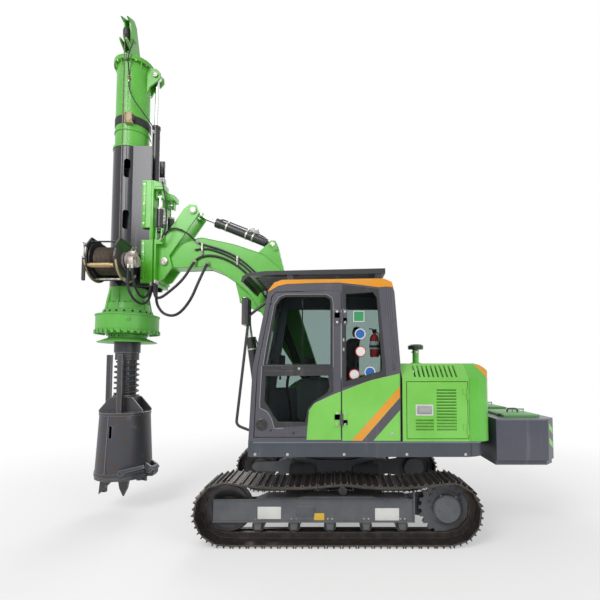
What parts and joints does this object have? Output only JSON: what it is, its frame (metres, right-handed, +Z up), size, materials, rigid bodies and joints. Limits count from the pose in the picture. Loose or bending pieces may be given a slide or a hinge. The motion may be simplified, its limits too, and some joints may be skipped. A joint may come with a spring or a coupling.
{
  "type": "compact rotary drilling rig on a crawler excavator carrier",
  "caption": "Compact crawler drilling rig: slewing upper with cab, swan-neck boom, vertical mast, side winch, rotary drive and drilling bucket on a kelly bar.",
  "frame": {"origin": "on the slewing axis, at the level of the ground under the tracks", "axes": "+X forward to the mast, +Y left to the cab, +Z up"},
  "size_m": [5.27, 2.2, 6.165],
  "materials": {
    "green_paint": "bright lime green gloss paint, dusty and worn at the edges",
    "cab_paint": "dark grey satin paint with a violet tint",
    "deck_paint": "dark blue-grey satin paint, dusty",
    "track_steel": "black-brown worn track steel with bright grouser tips",
    "roller_steel": "dark painted steel, worn where it runs",
    "frame_paint": "dark blue-grey paint with dust",
    "black_paint": "satin black paint",
    "mast_steel": "polished black mast tube",
    "bronze_paint": "worn bronze coloured paint",
    "casting": "pale tan unpainted castings",
    "chrome": "hard chrome rod",
    "tool_steel": "weathered dark steel with dried soil",
    "drum_steel": "drum wound with greased wire rope",
    "rope": "greased wire rope",
    "box_paint": "dark grey paint",
    "glass": "slightly tinted clear glass",
    "seat": "black seat cloth",
    "engine": "dark cast iron",
    "exhaust": "sooty steel"
  },
  "bodies": {
    "undercarriage": {"carbody": "frame_paint", "slew_ring": "roller_steel", "track_frame_left": "frame_paint", "track_frame_right": "frame_paint", "track_left": "track_steel", "track_right": "track_steel", "idlers": "roller_steel", "sprockets": "roller_steel", "track_rollers": "roller_steel"},
    "upper": {"platform": "deck_paint", "counterweight": "green_paint", "cab_shell": "cab_paint", "cab_glass": "glass", "cab_seat": "seat", "cab_guard": "black_paint", "handrail_mirror": "black_paint", "engine_hood": "green_paint", "engine_block": "engine", "exhaust_stack": "exhaust", "right_tanks": "green_paint", "rear_box": "box_paint"},
    "cab_door": {"cab_door": "cab_paint", "door_glass": "glass"},
    "hood_door_left": {"hood_door_left": "green_paint"},
    "hood_door_right": {"hood_door_right": "green_paint"},
    "box_lid_left": {"box_lid_left": "green_paint"},
    "box_lid_right": {"box_lid_right": "green_paint"},
    "boom": {"boom": "green_paint"},
    "lift_barrel": {"lift_barrel": "black_paint"},
    "lift_rod": {"lift_rod": "chrome"},
    "carrier": {"carrier": "green_paint"},
    "tilt_barrel": {"tilt_barrel": "black_paint"},
    "tilt_rod": {"tilt_rod": "chrome"},
    "roll_barrel_left": {"roll_barrel_left": "black_paint"},
    "roll_rod_left": {"roll_rod_left": "chrome"},
    "roll_barrel_right": {"roll_barrel_right": "black_paint"},
    "roll_rod_right": {"roll_rod_right": "chrome"},
    "carriage": {"carriage": "green_paint", "crowd_barrel": "black_paint"},
    "mast": {"mast_lower_tube": "mast_steel", "mast_upper_tube": "green_paint", "mast_head": "green_paint", "crowd_rod": "chrome", "rotary_drive": "green_paint", "winch_frame": "bronze_paint", "winch_motor": "casting", "hoist_rope": "rope"},
    "winch_drum": {"winch_drum": "drum_steel"},
    "sheave": {"sheave": "tool_steel"},
    "drive_flare": {"drive_flare": "green_paint", "drive_stub": "tool_steel"},
    "kelly": {"kelly_bar": "tool_steel", "kelly_spring": "tool_steel", "bucket_shell": "tool_steel"},
    "bucket_gate": {"bucket_gate": "tool_steel"}
  },
  "joints": [
    {"name": "slew", "type": "hinge", "parent": "undercarriage", "child": "upper", "pos_m": [0, 0, 0.776], "axis": [0, 0, 1], "continuous": true},
    {"name": "cab_door", "type": "hinge", "parent": "upper", "child": "cab_door", "pos_m": [-0.075, 1.045, 1.8], "axis": [0, 0, 1], "range_deg": [0, 150]},
    {"name": "hood_door_left", "type": "hinge", "parent": "upper", "child": "hood_door_left", "pos_m": [-1.327, 1.038, 1.3], "axis": [0, 0, 1], "range_deg": [0, 80]},
    {"name": "hood_door_right", "type": "hinge", "parent": "upper", "child": "hood_door_right", "pos_m": [-1.327, -1.038, 1.3], "axis": [0, 0, -1], "range_deg": [0, 80]},
    {"name": "box_lid_left", "type": "hinge", "parent": "upper", "child": "box_lid_left", "pos_m": [-1.801, 0.45, 1.236], "axis": [0, 1, 0], "range_deg": [0, 90]},
    {"name": "box_lid_right", "type": "hinge", "parent": "upper", "child": "box_lid_right", "pos_m": [-1.801, -0.45, 1.236], "axis": [0, 1, 0], "range_deg": [0, 90]},
    {"name": "boom_lift", "type": "hinge", "parent": "upper", "child": "boom", "pos_m": [0.22, 0, 1.38], "axis": [0, -1, 0], "range_deg": [-12, 18]},
    {"name": "lift_swing", "type": "hinge", "parent": "upper", "child": "lift_barrel", "pos_m": [0.88, 0, 0.98], "axis": [0, -1, 0], "range_deg": [-9.6, 14.41]},
    {"name": "lift_rod", "type": "slide", "parent": "lift_barrel", "child": "lift_rod", "axis": [0.1471, 0, 0.9891], "range_m": [-0.14521, 0.21782]},
    {"name": "mast_tilt", "type": "hinge", "parent": "boom", "child": "carrier", "pos_m": [2.1, 0, 3.046], "axis": [0, -1, 0], "range_deg": [-5, 15]},
    {"name": "tilt_swing", "type": "hinge", "parent": "boom", "child": "tilt_barrel", "pos_m": [0.772, 0, 3.289], "axis": [0, -1, 0], "range_deg": [-2.1, 0.7]},
    {"name": "tilt_rod", "type": "slide", "parent": "tilt_barrel", "child": "tilt_rod", "axis": [0.9253, 0, 0.3793], "range_m": [-0.18759, 0.06253]},
    {"name": "mast_roll", "type": "hinge", "parent": "carrier", "child": "carriage", "pos_m": [2.2, 0, 3.046], "axis": [1, 0, 0], "range_deg": [-6, 6]},
    {"name": "roll_swing_left", "type": "hinge", "parent": "carrier", "child": "roll_barrel_left", "pos_m": [2.152, 0.165, 3.425], "axis": [1, 0, 0], "range_deg": [-11.32, 11.32]},
    {"name": "roll_rod_left", "type": "slide", "parent": "roll_barrel_left", "child": "roll_rod_left", "axis": [0, 0, 1], "range_m": [-0.01711, 0.01711]},
    {"name": "roll_swing_right", "type": "hinge", "parent": "carrier", "child": "roll_barrel_right", "pos_m": [2.152, -0.165, 3.425], "axis": [1, 0, 0], "range_deg": [-11.32, 11.32]},
    {"name": "roll_rod_right", "type": "slide", "parent": "roll_barrel_right", "child": "roll_rod_right", "axis": [0, 0, 1], "range_m": [-0.01711, 0.01711]},
    {"name": "crowd", "type": "slide", "parent": "carriage", "child": "mast", "axis": [0, 0, 1], "range_m": [-0.5, 0.02]},
    {"name": "winch", "type": "hinge", "parent": "mast", "child": "winch_drum", "pos_m": [2.561, 0.48, 2.96], "axis": [1, 0, 0], "continuous": true},
    {"name": "sheave", "type": "hinge", "parent": "mast", "child": "sheave", "pos_m": [2.6, 0.13, 5.905], "axis": [1, 0, 0], "continuous": true},
    {"name": "rotary", "type": "hinge", "parent": "mast", "child": "drive_flare", "pos_m": [2.6, 0, 2.1], "axis": [0, 0, 1], "continuous": true},
    {"name": "kelly", "type": "slide", "parent": "drive_flare", "child": "kelly", "axis": [0, 0, 1], "range_m": [-2.2, 0]},
    {"name": "bucket_gate", "type": "hinge", "parent": "kelly", "child": "bucket_gate", "pos_m": [2.237, 0, 0.498], "axis": [0, 1, 0], "range_deg": [0, 75]}
  ],
  "couplings": [
    {"joint": "lift_swing", "follows": "boom_lift", "ratio": 0.8},
    {"joint": "lift_rod", "follows": "boom_lift", "m_per_rad": 0.693},
    {"joint": "tilt_swing", "follows": "mast_tilt", "ratio": -0.14},
    {"joint": "tilt_rod", "follows": "mast_tilt", "m_per_rad": -0.7162},
    {"joint": "roll_swing_left", "follows": "mast_roll", "ratio": 1.885},
    {"joint": "roll_rod_left", "follows": "mast_roll", "m_per_rad": 0.1633},
    {"joint": "roll_swing_right", "follows": "mast_roll", "ratio": 1.885},
    {"joint": "roll_rod_right", "follows": "mast_roll", "m_per_rad": -0.1633}
  ]
}
